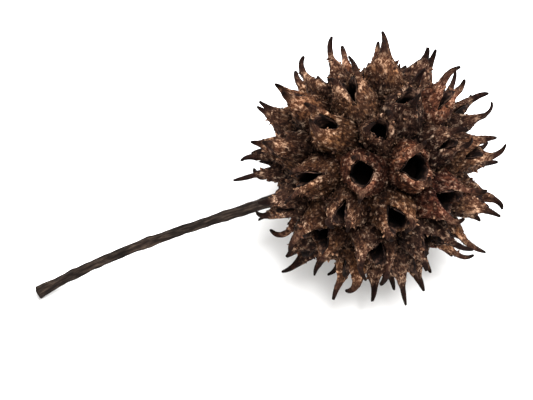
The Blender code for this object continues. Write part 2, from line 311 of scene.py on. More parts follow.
def clearance(samples, others):
    """The least gap between the centre lines of two sets of samples, and between their sides."""
    gaps = np.linalg.norm(samples[:, None, :3] - others[None, :, :3], axis=2)
    return gaps.min(), (gaps - samples[:, None, 3] - others[None, :, 3]).min()


def grow_beaks(capsules, draw):
    """A pair of beaks for each capsule, clear of each other, of the stalk and of the rest.

    A beak that would touch another is drawn again, a little shorter each time.
    """
    shares = np.linspace(0, 1, CLEARANCE_STEPS)
    placed = [(*stalk_path(share), stalk_radius(share)) for share in shares]
    for capsule in capsules:
        first = Beak(capsule, 0, draw)
        second = Beak(capsule, 1, draw)
        for redraw in range(MOST_REDRAWS):
            growth = 1 - redraw * SHORTER_EACH_REDRAW
            others = np.array(placed)
            if clearance(first.samples(), others)[1] < BEAK_CLEARANCE:
                first = Beak(capsule, 0, draw, growth)
            elif clearance(second.samples(), others)[1] < BEAK_CLEARANCE:
                second = Beak(capsule, 1, draw, growth)
            elif clearance(first.samples(), second.samples())[0] < PAIR_CLEARANCE:
                first = Beak(capsule, 0, draw, growth)
                second = Beak(capsule, 1, draw, growth)
            else:
                break
        capsule.beaks = [first, second]
        placed += [*first.samples(), *second.samples()]


def parted_ball(directions):
    """The unit sphere parted into cells: a hull whose every edge is turned across itself."""
    bm = bmesh.new()
    corners = [bm.verts.new(direction) for direction in directions]
    bmesh.ops.convex_hull(bm, input=corners)
    hull_edges = list(bm.edges)
    bmesh.ops.poke(bm, faces=bm.faces[:])
    bmesh.ops.rotate_edges(bm, edges=hull_edges)
    bmesh.ops.dissolve_verts(bm, verts=corners)
    bmesh.ops.recalc_face_normals(bm, faces=bm.faces[:])
    return bm


def shape_valleys(bm, draw):
    """Sets the cells' corners down into valleys, each a little deeper or shallower."""
    for vert in sorted(bm.verts, key=lambda v: (round(v.co.z, 4), round(v.co.x, 4))):
        depth = VALLEY_DEPTH + draw.uniform(-1, 1) * VALLEY_ROUGHNESS
        vert.co = HEAD_CENTRE + vert.co.normalized() * (HEAD_RADIUS - depth)
    bmesh.ops.subdivide_edges(bm, edges=bm.edges[:], cuts=CELL_EDGE_PIECES - 1)


def corner_angles(face, cell):
    """An even angle round the cell for each corner, with 0 at the corner nearest its line."""
    count = len(face.verts)
    spreads = [cell.spread(vert.co) for vert in face.verts]
    around = [abs(math.atan2(spread.y, spread.x)) for spread in spreads]
    first = around.index(min(around))
    return [math.tau * (k - first) / count for k in range(count)]


def raise_ring(bm, face, places, sunk=0.0):
    """One more ring of a cell. sunk says how far down a mouth it is, for the finish."""
    made = bmesh.ops.extrude_discrete_faces(bm, faces=[face])["faces"][0]
    mouth = bm.verts.layers.float["mouth"]
    for vert, place in zip(made.verts, places):
        vert.co = place
        vert[mouth] = sunk
    return made


def mark_fibres(bm, capsule, capsule_tone):
    """Marks how far round a capsule and how far down its wall each vertex is, and its tone."""
    names = ("round_x", "round_y", "run", "tone")
    round_x, round_y, run, tone = (bm.verts.layers.float[name] for name in names)
    for vert in bm.verts:
        side = capsule.spread(vert.co)
        vert[round_x], vert[round_y] = side.normalized()
        vert[run] = (side.length - (vert.co - HEAD_CENTRE).length) / HEAD_RADIUS
        vert[tone] = capsule_tone


def wall_places(border, capsule, angles, drop, reach):
    """One ring of a capsule's ribbed outer wall, between its border and its rim."""
    places = []
    for corner, angle in zip(border, angles):
        rim = capsule.torn_mouth(angle, RIM_THICKNESS)
        way = Vector((math.cos(angle), math.sin(angle), capsule.bend)) * RIB_SCALE
        rib = 1 + RIB_SHARE * noise.noise(way + Vector((0, 0, drop)))
        spread = rim + (capsule.spread(corner) - rim) * reach * rib
        top = capsule.torn_rim(angle)
        fall = (top - (corner - HEAD_CENTRE).length) * drop
        places.append(capsule.point(top - fall * rib, spread))
    return places


def whole_region(faces):
    """The faces with all their edges and vertices, each of them once."""
    edges = dict.fromkeys(edge for face in faces for edge in face.edges)
    verts = dict.fromkeys(vert for face in faces for vert in face.verts)
    return [*faces, *edges, *verts]


def draw_out(bm, faces, beak):
    """Draws the rim faces under a beak out along its centre line, section by section."""
    quarters = np.linspace(0, 1, len(BEAK_WIDTHS))
    shares = np.linspace(0, 1, BEAK_STEPS + 1)
    widths = np.interp(shares, quarters, BEAK_WIDTHS)
    thicknesses = np.interp(shares, quarters, BEAK_THICKNESSES)
    layer = bm.verts.layers.float["beak"]
    for k in range(BEAK_STEPS):
        made = bmesh.ops.extrude_face_region(bm, geom=whole_region(faces))["geom"]
        verts = [g for g in made if isinstance(g, bmesh.types.BMVert)]
        faces = [g for g in made if isinstance(g, bmesh.types.BMFace)]
        shrink = Matrix.Diagonal(
            (
                widths[k + 1] / widths[k],
                thicknesses[k + 1] / thicknesses[k],
                SECTION_LEVELLING,
                1,
            )
        )
        step = beak.frame(shares[k + 1]) @ shrink @ beak.frame(shares[k]).inverted()
        bmesh.ops.transform(bm, matrix=step, verts=verts)
        for vert in verts:
            vert[layer] = shares[k + 1]


def raise_capsule(bm, face, capsule):
    """Wall, lip, mouth and beaks of one capsule, raised from its cell."""
    angles = corner_angles(face, capsule)
    border = [vert.co.copy() for vert in face.verts]

    def rim_places(wall, rise=0.0):
        return [
            capsule.point(capsule.torn_rim(angle) + rise, capsule.torn_mouth(angle, wall))
            for angle in angles
        ]

    def mouth_places(down, share):
        places = []
        for angle in angles:
            rim = capsule.torn_rim(angle)
            distance = rim + (MOUTH_FLOOR - rim) * down
            places.append(capsule.point(distance, capsule.torn_mouth(angle) * share))
        return places

    top = face
    for drop, reach in WALL_RINGS:
        top = raise_ring(bm, top, wall_places(border, capsule, angles, drop, reach))
    top = raise_ring(bm, top, rim_places(RIM_THICKNESS))
    top = raise_ring(bm, top, rim_places(RIM_THICKNESS / 2, LIP_RISE))
    outer_rim = [next(f for f in edge.link_faces if f is not top) for edge in top.edges]
    top = raise_ring(bm, top, rim_places(0))
    inner_rim = [next(f for f in edge.link_faces if f is not top) for edge in top.edges]
    for down, share in MOUTH_RINGS:
        top = raise_ring(bm, top, mouth_places(down, share), down)
    raise_ring(bm, top, mouth_places(1, FLOOR_SHARE), 1.0)
    for beak in capsule.beaks:
        root = []
        for rim in (outer_rim, inner_rim):
            rim.sort(key=lambda f: (f.calc_center_median() - beak.points[0]).length)
            root += rim[:CELL_EDGE_PIECES]
            del rim[:CELL_EDGE_PIECES]
        draw_out(bm, root, beak)


def raise_socket(bm, face, socket):
    """The low collar round the stalk, and the hole that the stalk stands in."""
    angles = corner_angles(face, socket)
    brim = HEAD_RADIUS + COLLAR_RISE
    hole = STALK_ROOT_RADIUS + SOCKET_GAP
    top = face
    for distance, radius, sunk in (
        (brim, COLLAR_RADIUS, 0.0),
        (brim, hole, 0.0),
        (HEAD_RADIUS - SOCKET_DEPTH, hole, 1.0),
    ):
        sides = [Vector((math.cos(a), math.sin(a))) * radius for a in angles]
        top = raise_ring(bm, top, [socket.point(distance, side) for side in sides], sunk)


def new_skin():
    """An empty mesh, ready for the marks that the wood's finish reads."""
    bm = bmesh.new()
    for name in ("mouth", "beak", "tone", "crest", "round_x", "round_y", "run"):
        bm.verts.layers.float.new(name)
    return bm


def sort_by_place(bm):
    """Puts a mesh's parts in order, as extruding numbers them differently each time it runs."""

    def place(part):
        return sum(vert.co.dot(SORTING_WAY) for vert in getattr(part, "verts", [part]))

    for parts in (bm.verts, bm.edges, bm.faces):
        parts.sort(key=place)


def gather(whole, bm):
    """Adds a small finished mesh to a larger one."""
    mesh = bpy.data.meshes.new("gathered")
    bm.to_mesh(mesh)
    bm.free()
    whole.from_mesh(mesh)
    bpy.data.meshes.remove(mesh)


def lone_cell(face):
    """A cell's face, alone in a small mesh of its own."""
    bm = new_skin()
    return bm, bm.faces.new([bm.verts.new(vert.co) for vert in face.verts])


def link_piece(name, mesh):
    """Puts a finished mesh into the scene as one piece."""
    piece = bpy.data.objects.new(name, mesh)
    bpy.context.scene.collection.objects.link(piece)
    return piece


def rounded(bm):
    """The mesh after Subdivision Surface, as a new bmesh."""
    mesh = bpy.data.meshes.new("rounding")
    bm.to_mesh(mesh)
    bm.free()
    piece = link_piece("rounding", mesh)
    smoothing = piece.modifiers.new("rounding", "SUBSURF")
    smoothing.levels = smoothing.render_levels = 1
    view = bpy.context.evaluated_depsgraph_get()
    result = bmesh.new()
    result.from_mesh(piece.evaluated_get(view).to_mesh())
    bpy.data.objects.remove(piece, do_unlink=True)
    bpy.data.meshes.remove(mesh)
    return result


WELD_DISTANCE = 1e-7
# A slanting way, along which no two parts of a mesh lie equally far
SORTING_WAY = Vector((1, 0.7, 0.4))
# Each size of lump on the walls: how fine it is, and how high it rises
LUMP_SCALES = ((640, 0.00030), (1900, 0.00015))
# How fast the lumps fade along a beak and down a mouth, and the share of them that stays
BEAK_FADE = (1.6, 0.12)
MOUTH_FADE = (3, 0.3)


def faded(way, pace, least):
    """What is left of a lump, that far along a beak or down a mouth."""
    return max(least, 1 - pace * way)


def weather_skin(bm):
    """Lumps on the walls, fading out along the beaks and down the mouths."""
    bm.normal_update()
    mouth = bm.verts.layers.float["mouth"]
    beak = bm.verts.layers.float["beak"]
    moves = []
    for vert in bm.verts:
        share = faded(vert[beak], *BEAK_FADE) * faded(vert[mouth], *MOUTH_FADE)
        rise = sum(noise.noise(vert.co * scale) * height for scale, height in LUMP_SCALES)
        moves.append(vert.normal * rise * share)
    for vert, move in zip(bm.verts, moves):
        vert.co += move


def level_feet(bm):
    """The beaks under the head end level with the surface that the head lies on."""
    geometry = bm.verts[:] + bm.edges[:] + bm.faces[:]
    bmesh.ops.bisect_plane(
        bm, geom=geometry, plane_co=(0, 0, 0), plane_no=(0, 0, -1), clear_outer=True
    )
    bmesh.ops.holes_fill(bm, edges=[e for e in bm.edges if e.is_boundary])


def mark_crests(bm):
    """Each vertex's height over its neighbours, for the pale on the edges, which is partly wear
    and partly painted highlight.
    """
    crest = bm.verts.layers.float["crest"]
    for vert in bm.verts:
        around = [edge.other_vert(vert).co for edge in vert.link_edges]
        middle = sum(around, Vector()) / len(around)
        span = sum((vert.co - place).length for place in around) / len(around)
        vert[crest] = (vert.co - middle).dot(vert.normal) / span


draw = random.Random(GROWTH_SEED)
directions = capsule_directions(draw)
ball = parted_ball(directions)
cell_faces = [
    min(ball.faces, key=lambda f: f.calc_center_median().angle(direction))
    for direction in directions
]
socket = Cell(cell_faces[0], draw, stalk_direction())
capsules = [Capsule(face, draw) for face in cell_faces[1:]]
grow_beaks(capsules, draw)
shape_valleys(ball, draw)
head = new_skin()
cell, cell_face = lone_cell(cell_faces[0])
raise_socket(cell, cell_face, socket)
gather(head, cell)
for ball_face, capsule in zip(cell_faces[1:], capsules):
    cell, cell_face = lone_cell(ball_face)
    raise_capsule(cell, cell_face, capsule)
    mark_fibres(cell, capsule, draw.random())
    sort_by_place(cell)
    gather(head, cell)
ball.free()
bmesh.ops.remove_doubles(head, verts=head.verts[:], dist=WELD_DISTANCE)
bmesh.ops.recalc_face_normals(head, faces=head.faces[:])
head = rounded(head)
weather_skin(head)
level_feet(head)
head.normal_update()
mark_crests(head)


def add_node(tree, kind, sockets=None, **settings):
    """A shader node, with its settings, and its inputs linked or set by name or number."""
    node = tree.nodes.new(kind)
    for name, value in settings.items():
        setattr(node, name, value)
    for key, value in (sockets or {}).items():
        if isinstance(value, bpy.types.NodeSocket):
            tree.links.new(value, node.inputs[key])
        else:
            node.inputs[key].default_value = value
    return node


def ramp(tree, factor, *stops):
    """A colour ramp through (place, colour) stops."""
    node = add_node(tree, "ShaderNodeValToRGB", {"Fac": factor})
    elements = node.color_ramp.elements
    while len(elements) < len(stops):
        elements.new(0.5)
    for element, (place, colour) in zip(elements, stops):
        element.position = place
        element.color = (*colour, 1) if isinstance(colour, tuple) else (colour,) * 3 + (1,)
    return node.outputs["Color"]


def blend(tree, factor, first, second, mode="MIX"):
    """Two colours mixed. The node's inputs 6 and 7 and its output 2 are its colours."""
    node = add_node(
        tree,
        "ShaderNodeMix",
        {"Factor": factor, 6: first, 7: second},
        data_type="RGBA",
        blend_type=mode,
    )
    return node.outputs[2]


def new_finish(name, roughness, specular):
    """A material with its tree, its shader and its place on the object."""
    material = bpy.data.materials.new(name)
    material.use_nodes = True
    tree = material.node_tree
    shader = tree.nodes["Principled BSDF"]
    shader.inputs["Roughness"].default_value = roughness
    shader.inputs["Specular IOR Level"].default_value = specular
    place = add_node(tree, "ShaderNodeTexCoord").outputs["Object"]
    return material, tree, shader, place


def speckle(tree, place, scale, detail, roughness=0.6, distortion=0.0):
    """Noise from 0 to 1, as fine as the scale says."""
    node = add_node(
        tree,
        "ShaderNodeTexNoise",
        {
            "Vector": place,
            "Scale": scale,
            "Detail": detail,
            "Roughness": roughness,
            "Distortion": distortion,
        },
    )
    return node.outputs["Fac"]


def grain_relief(tree, height, shader, distance, strength=1.0):
    """Relief on a finish, as high as the distance says."""
    bump = add_node(
        tree, "ShaderNodeBump", {"Height": height, "Distance": distance, "Strength": strength}
    )
    tree.links.new(bump.outputs["Normal"], shader.inputs["Normal"])


UMBER = (0.0062, 0.0035, 0.0030)
BROWN = (0.0290, 0.0142, 0.0108)
OLIVE_TAN = (0.122, 0.069, 0.045)
# The pale of the lips and edges; on the edges it is partly wear and partly painted highlight
PALE_DUST_AND_HIGHLIGHT = (0.47, 0.335, 0.240)
BEAK_BROWN = (0.0125, 0.0058, 0.0046)
BEAK_ORANGE = (0.052, 0.0215, 0.0135)
BEAK_TAN = (0.23, 0.132, 0.081)
# Beak tips: partly their own dark brown, partly painted shade
TIP_BROWN_AND_SHADE = (0.0074, 0.0041, 0.0033)
# Near black, painted into the mouths as shade
MOUTH_PAINTED_SHADE = (0.0020, 0.0012, 0.0010)
# How capsules differ: weathered grey brown, plain, ochre, and reddish brown
CAPSULE_TINTS = (
    (0.05, (0.62, 0.66, 0.74)),
    (0.35, 0.95),
    (0.70, (1.34, 1.24, 0.94)),
    (0.95, (1.34, 0.96, 0.92)),
)
# Painted shade and light: how much darker the wood is painted from a capsule's lips down into the
# valleys, and how much lighter at the lips
HOLLOW_SHADES = ((0.05, (0.17, 0.155, 0.155)), (0.55, 0.82), (0.95, (1.55, 1.45, 1.37)))
# How fine the fibres are: two ways across a capsule, and along its walls or its beaks
FIBRE_SCALE = 2.2
WALL_FIBRES = (5.0, 5.0, 8.0)
BEAK_FIBRES = (11.0, 11.0, 4.0)
CAPSULES_APART = 90.0
# How fine the wood's other patterns are, and how high its relief
PATCH_SCALE = 170
GRAIN_SCALE = 1500
BEAK_STREAK_SCALE = 900
PIT_SCALE = 1700
WOOD_RELIEF = 0.00035


def mark(tree, name):
    """A value that each vertex of the mesh was marked with."""
    return add_node(tree, "ShaderNodeAttribute", attribute_name=name).outputs["Fac"]


def height_over_valleys(tree, place):
    """0 at the floor of the valleys between the capsules, 1 at the top of their lips."""
    centred = add_node(
        tree, "ShaderNodeMapping", {"Vector": place, "Location": tuple(-HEAD_CENTRE)}
    ).outputs["Vector"]
    distance = add_node(
        tree, "ShaderNodeVectorMath", {0: centred}, operation="LENGTH"
    ).outputs["Value"]
    bounds = {"From Min": HEAD_RADIUS - VALLEY_DEPTH, "From Max": HEAD_RADIUS + RIM_RISE}
    return add_node(
        tree, "ShaderNodeMapRange", {"Value": distance, **bounds}
    ).outputs["Result"]


def shade_hollows(tree, place, colour):
    """Paints shade into the valleys, darkening the wood towards their floors, and painted light
    onto the heights, lightening and warming them.
    """
    shade = ramp(tree, height_over_valleys(tree, place), *HOLLOW_SHADES)
    return blend(tree, 1.0, colour, shade, "MULTIPLY")


def fibre_grain(tree, run, apart, fineness):
    """Streaks that run out along each capsule, unlike its neighbours'."""
    scaled = add_node(
        tree, "ShaderNodeMapping", {"Vector": run, "Scale": fineness}
    ).outputs["Vector"]
    moved = add_node(
        tree, "ShaderNodeVectorMath", {0: scaled, 1: apart}, operation="ADD"
    ).outputs["Vector"]
    return speckle(tree, moved, FIBRE_SCALE, detail=5.0, roughness=0.7, distortion=0.6)


def wall_colour(tree, place, grain, crest, tone):
    """Umber to olive tan crust, in patches and unlike its neighbours', with pale lips, pale edges
    that are partly wear and partly painted highlight, and painted shade in the valleys.
    """
    patches = speckle(tree, place, PATCH_SCALE, detail=3.0)
    colour = ramp(tree, grain, (0.40, UMBER), (0.51, BROWN), (0.63, OLIVE_TAN))
    shade = ramp(tree, patches, (0.36, (0.42, 0.36, 0.34)), (0.64, (1.60, 1.46, 1.24)))
    colour = blend(tree, 1.0, colour, shade, "MULTIPLY")
    colour = blend(tree, 1.0, colour, ramp(tree, tone, *CAPSULE_TINTS), "MULTIPLY")
    lip = ramp(tree, height_over_valleys(tree, place), (0.70, 0.0), (1.0, 0.9))
    lip = blend(tree, 1.0, lip, ramp(tree, patches, (0.42, 0.1), (0.60, 1.0)), "MULTIPLY")
    # Pale on the convex edges: partly wear, partly painted highlight
    worn = blend(tree, 1.0, ramp(tree, crest, (0.02, 0.0), (0.20, 1.0)), lip, "SCREEN")
    dust_and_highlight = blend(tree, 1.0, worn, ramp(tree, grain, (0.50, 0.0), (0.62, 0.8)), "MULTIPLY")
    colour = blend(tree, dust_and_highlight, colour, PALE_DUST_AND_HIGHLIGHT + (1,))
    # Painted shade in the valleys and painted light on the lips
    return shade_hollows(tree, place, colour)


def beak_colour(tree, place, strands, tone):
    """Streaked horn: dull dark brown on some capsules, orange brown to tan on others."""
    streaks = speckle(tree, place, BEAK_STREAK_SCALE, detail=3.0, distortion=1.5)
    streaks = blend(tree, 0.6, streaks, strands)
    dull = ramp(tree, streaks, (0.42, UMBER), (0.53, BEAK_BROWN), (0.68, BEAK_ORANGE))
    bright = ramp(tree, streaks, (0.40, BEAK_BROWN), (0.52, BEAK_ORANGE), (0.66, BEAK_TAN))
    return blend(tree, ramp(tree, tone, (0.35, 0.0), (0.95, 1.0)), dull, bright)


def capsule_finish():
    """Dry woody skin: crusty walls, streaked beaks whose dark tips are partly painted shade, and
    mouths painted near black as shade.
    """
    material, tree, shader, place = new_finish("capsule wood", roughness=0.7, specular=0.02)
    beak, mouth, crest, tone = (mark(tree, name) for name in ("beak", "mouth", "crest", "tone"))
    sides = {k: mark(tree, name) for k, name in enumerate(("round_x", "round_y", "run"))}
    run = add_node(tree, "ShaderNodeCombineXYZ", sides).outputs["Vector"]
    apart = add_node(
        tree, "ShaderNodeMath", {0: tone, 1: CAPSULES_APART}, operation="MULTIPLY"
    ).outputs["Value"]
    strands = fibre_grain(tree, run, apart, BEAK_FIBRES)
    specks = speckle(tree, place, GRAIN_SCALE, detail=5.0, roughness=0.65)
    grain = blend(tree, 0.45, specks, fibre_grain(tree, run, apart, WALL_FIBRES))
    wall = wall_colour(tree, place, grain, crest, tone)
    horn = beak_colour(tree, place, strands, tone)
    horny = ramp(tree, beak, (0.02, 0.0), (0.40, 1.0))
    # The outer half of each beak darkens to near black: partly its own darker end, partly painted
    # shade.
    tip = ramp(tree, beak, (0.50, 0.0), (0.88, 1.0))
    # Painted shade: down each mouth the wood is painted near black.
    hollow = ramp(tree, mouth, (0.04, 0.0), (0.34, 1.0))
    colour = blend(tree, horny, wall, horn)
    colour = blend(tree, tip, colour, TIP_BROWN_AND_SHADE + (1,))
    colour = blend(tree, hollow, colour, MOUTH_PAINTED_SHADE + (1,))
    tree.links.new(colour, shader.inputs["Base Color"])
    pits = add_node(
        tree, "ShaderNodeTexVoronoi", {"Vector": place, "Scale": PIT_SCALE}, feature="F1"
    ).outputs["Distance"]
    relief = blend(tree, horny, blend(tree, 0.6, pits, grain), strands)
    grain_relief(tree, relief, shader, WOOD_RELIEF, strength=0.9)
    return material


head_mesh = bpy.data.meshes.new("seed_head_skin")
head.to_mesh(head_mesh)
head_mesh.materials.append(capsule_finish())
head_mesh.shade_smooth()
head_piece = link_piece("seed_head_skin", head_mesh)
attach(head_piece, "root")
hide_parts("seed_head")


# The warty scales: blunt woody grains, thousands of them, which crowd every wall between the
# mouths. They are the hardened remains of flowers that never set seed, rooted in the skin.
SCALE_SEED = 7
# Each size of scale: how many, how far apart, the bounds of its radius and height, and how
# strongly it keeps to the valleys
SCALE_SIZES = (
    (1300, 0.00070, (0.00024, 0.00044), (0.00038, 0.00085), 1.0),
    (2200, 0.00044, (0.00012, 0.00024), (0.00022, 0.00056), -0.5),
)
# How many places are tried for each scale, as many lie too near another
SCALE_TRIES = 12
SCALE_SUNK = 0.00012
# How strongly a scale leans away from the head's centre, and to any side
SCALE_LEAN = 0.9
SCALE_SWAY = 0.45
SCALE_FLATTEST = 0.45
SCALE_SIDES = 6
SCALE_BANDS = 5
SCALE_POINT = 0.55
SCALE_ROUGHNESS = 0.00013
SCALE_ROUGHNESS_FINENESS = 2600
SCALE_BATCH = 60
# Where scales grow: this far down a mouth and up a beak at most, and this far over the floor
MOUTH_EDGE = 0.02
BEAK_REACH = 0.26
FLOOR_CLEARANCE = 0.002
SCALE_TAN = (0.27, 0.186, 0.130)
SCALE_GRAIN = 1300
SCALE_PITS = 5200
SCALE_RELIEF = 0.00008


def scale_roots(skin, draw, count, spacing, keeping):
    """Places and normals spread over the walls, none nearer another than the spacing."""
    mouth = skin.verts.layers.float["mouth"]
    beak = skin.verts.layers.float["beak"]
    walls = [
        face
        for face in skin.faces
        if all(v[mouth] < MOUTH_EDGE and v[beak] < BEAK_REACH for v in face.verts)
        and face.calc_center_median().z > FLOOR_CLEARANCE
    ]
    middles = [face.calc_center_median() for face in walls]
    heights = [(middle - HEAD_CENTRE).length - HEAD_RADIUS for middle in middles]
    weights = [
        face.calc_area() * math.exp(-keeping * height / VALLEY_DEPTH)
        for face, height in zip(walls, heights)
    ]
    tree = kdtree.KDTree(len(walls))
    for k, middle in enumerate(middles):
        tree.insert(middle, k)
    tree.balance()
    taken = set()
    roots = []
    for k in draw.choices(range(len(walls)), weights=weights, k=SCALE_TRIES * count):
        if k in taken:
            continue
        roots.append((middles[k], walls[k].normal.copy()))
        taken.update(index for _, index, _ in tree.find_range(middles[k], spacing))
        if len(roots) == count:
            break
    return roots


def grow_scale(bm, place, normal, radii, heights, draw):
    """One scale: a slim pointed grain, rooted in the skin, leaning and turned its own way."""
    out = (place - HEAD_CENTRE).normalized()
    sway = Vector([draw.uniform(-1, 1) for _ in range(3)]) * SCALE_SWAY
    rise = (normal + out * draw.uniform(0, SCALE_LEAN) + sway).normalized()
    radius = draw.uniform(*radii)
    flat = radius * draw.uniform(SCALE_FLATTEST, 1)
    turn = rise.to_track_quat("Z", "Y").to_matrix().to_4x4()
    spin = Matrix.Rotation(draw.uniform(0, math.tau), 4, "Z")
    size = Matrix.Diagonal((radius, flat, draw.uniform(*heights), 1))
    root = Matrix.Translation(place - normal * SCALE_SUNK) @ turn @ spin
    grain = bmesh.ops.create_uvsphere(
        bm, u_segments=SCALE_SIDES, v_segments=SCALE_BANDS, radius=1
    )["verts"]
    top = bm.verts.layers.float["top"]
    for vert in grain:
        vert[top] = max(0, vert.co.z)
        slim = 1 - SCALE_POINT * vert[top]
        vert.co.x *= slim
        vert.co.y *= slim
    bmesh.ops.transform(bm, matrix=root @ size, verts=grain)


def grow_scales(skin, draw):
    """All the scales in one mesh, grown in batches, as a small mesh takes new parts sooner."""
    whole = bmesh.new()
    whole.verts.layers.float.new("top")
    for count, spacing, radii, heights, keeping in SCALE_SIZES:
        roots = scale_roots(skin, draw, count, spacing, keeping)
        for start in range(0, len(roots), SCALE_BATCH):
            batch = bmesh.new()
            batch.verts.layers.float.new("top")
            for place, normal in roots[start : start + SCALE_BATCH]:
                grow_scale(batch, place, normal, radii, heights, draw)
            gather(whole, batch)
    noise.seed_set(SCALE_SEED)
    for vert in whole.verts:
        vert.co += noise.noise_vector(vert.co * SCALE_ROUGHNESS_FINENESS) * SCALE_ROUGHNESS
    return whole


def scale_finish():
    """Dry corky grain: umber at the roots, olive brown on the sides, pale tan on worn tips."""
    material, tree, shader, place = new_finish("warty scales", roughness=0.75, specular=0.03)
    top = mark(tree, "top")
    patches = speckle(tree, place, PATCH_SCALE, detail=3.0)
    grain = speckle(tree, place, SCALE_GRAIN, detail=3.0)
    side = ramp(tree, grain, (0.40, UMBER), (0.52, BROWN), (0.66, OLIVE_TAN))
    tip = ramp(tree, grain, (0.42, BROWN), (0.53, OLIVE_TAN), (0.68, SCALE_TAN))
    colour = blend(tree, ramp(tree, top, (0.30, 0.0), (0.95, 1.0)), side, tip)
    shade = ramp(tree, patches, (0.36, (0.45, 0.38, 0.36)), (0.64, (1.4, 1.32, 1.18)))
    # Painted shade in the valleys and painted light on the heights, as on the walls
    colour = shade_hollows(tree, place, blend(tree, 1.0, colour, shade, "MULTIPLY"))
    tree.links.new(colour, shader.inputs["Base Color"])
    grain_relief(tree, speckle(tree, place, SCALE_PITS, detail=3.0), shader, SCALE_RELIEF)
    return material


scales = grow_scales(head, random.Random(SCALE_SEED))
head.free()
scale_mesh = bpy.data.meshes.new("warty_scales")
scales.to_mesh(scale_mesh)
scales.free()
scale_mesh.materials.append(scale_finish())
scale_mesh.shade_smooth()
scale_piece = link_piece("warty_scales", scale_mesh)
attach(scale_piece, "root")


# The mouth linings: the thin horny shell that each capsule's two halves leave round its hollow.
# Its torn edge stands a little above the wall's rim here and there, and below it the lining is
# painted darker, as shade, down into the hollow.
LINING_SEED = 31
# The bounds of the phase that sets each lining's own tear
LINING_PHASES = (0, 50)
LINING_SIDES = 26
# How far a torn edge stands over the rim, how far it wavers there, and how finely
LINING_LIFT = -0.00008
LINING_TORN = 0.0010
LINING_TEAR_SCALE = 3.1
# Each row of a lining's section: how far down the mouth it is, and how far in from its edge
LINING_ROWS = (
    (0.60, 0.00004),
    (0.30, 0.00004),
    (0.10, 0.00005),
    (0.00, 0.00008),
    (0.00, 0.00014),
    (0.10, 0.00017),
    (0.30, 0.00018),
    (0.60, 0.00018),
    (0.60, 0.00004),
)
LINING_NARROWING = 0.12
LINING_GRAIN = 1100
LINING_RELIEF = 0.00008


def lining_place(capsule, angle, down, inset, phase):
    """A point on a lining, that far down from its torn edge."""
    rim = capsule.torn_rim(angle)
    around = Vector((math.cos(angle), math.sin(angle), phase))
    torn = noise.noise(around * LINING_TEAR_SCALE)
    lift = (LINING_LIFT + LINING_TORN * torn) * (down == 0)
    distance = rim + lift + (MOUTH_FLOOR - rim) * down
    spread = capsule.torn_mouth(angle, -inset) * (1 - LINING_NARROWING * down)
    return capsule.point(distance, spread)


def line_mouth(capsule, phase):
    """One capsule's lining: a sheet of faces, rolled up both ways into a thin standing ring."""
    bm = bmesh.new()
    rolls = len(LINING_ROWS) - 1
    bmesh.ops.create_grid(bm, x_segments=LINING_SIDES, y_segments=rolls, size=1)
    for vert in bm.verts:
        angle = math.pi * (vert.co.x + 1)
        down, inset = LINING_ROWS[round((vert.co.y + 1) / 2 * rolls)]
        vert.co = lining_place(capsule, angle, down, inset, phase)
    bmesh.ops.remove_doubles(bm, verts=bm.verts[:], dist=WELD_DISTANCE)
    bmesh.ops.recalc_face_normals(bm, faces=bm.faces[:])
    return bm


def lining_finish():
    """Horny shell: pale tan along the torn edge, with painted shade that darkens it to near black
    down in the hollow.
    """
    material, tree, shader, place = new_finish("mouth lining", roughness=0.7, specular=0.06)
    grain = speckle(tree, place, LINING_GRAIN, detail=3.0)
    horn = ramp(tree, grain, (0.44, UMBER), (0.54, BROWN), (0.68, OLIVE_TAN))
    height = height_over_valleys(tree, place)
    # Painted shade: the lining darkens to near black down the mouth.
    light = ramp(tree, height, (0.20, 0.0), (0.42, 0.25), (0.70, 1.0))
    colour = blend(tree, 1.0, horn, light, "MULTIPLY")
    tree.links.new(colour, shader.inputs["Base Color"])
    grain_relief(tree, grain, shader, LINING_RELIEF)
    return material


linings = bmesh.new()
lining_draw = random.Random(LINING_SEED)
for capsule in capsules:
    gather(linings, line_mouth(capsule, lining_draw.uniform(*LINING_PHASES)))
lining_mesh = bpy.data.meshes.new("mouth_linings")
linings.to_mesh(lining_mesh)
linings.free()
lining_mesh.materials.append(lining_finish())
lining_mesh.shade_smooth()
lining_piece = link_piece("mouth_linings", lining_mesh)
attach(lining_piece, "root")


# The stalk: the slim woody stem that the head hung by, ribbed down its length, with a few
# small knots. It stands in the socket and swells where it broke away from the twig.
STALK_SIDES = 16
STALK_STEPS = 90
# Its ribs: how many, and how far they stand out as a share of its radius
STALK_RIB_COUNT = 5
STALK_RIBS = 0.05
# Each knot: its place along the stalk, how much it swells there, and its reach
STALK_KNOTS = ((0.30, 0.14, 0.012), (0.575, 0.24, 0.010), (0.60, 0.10, 0.02), (0.86, 0.16, 0.014))
# Its lumps: how high, and how fine
STALK_WAVER = 0.00009
STALK_LUMP_SCALE = 900
SCAR_RIM = 0.0003
SCAR_DEPTH = 0.0002


def stalk_frame(share):
    """The stalk's own frame at a share of its length, with Z along it."""
    step = 0.001
    ahead = stalk_path(min(1, share + step)) - stalk_path(max(0, share - step))
    turn = ahead.normalized().to_track_quat("Z", "Y")
    return Matrix.Translation(stalk_path(share)) @ turn.to_matrix().to_4x4()


def stalk_girth(share):
    """The stalk's radius, knots and all."""
    knots = sum(
        swell * math.exp(-(((share - place) / width) ** 2))
        for place, swell, width in STALK_KNOTS
    )
    return stalk_radius(share) * (1 + knots)


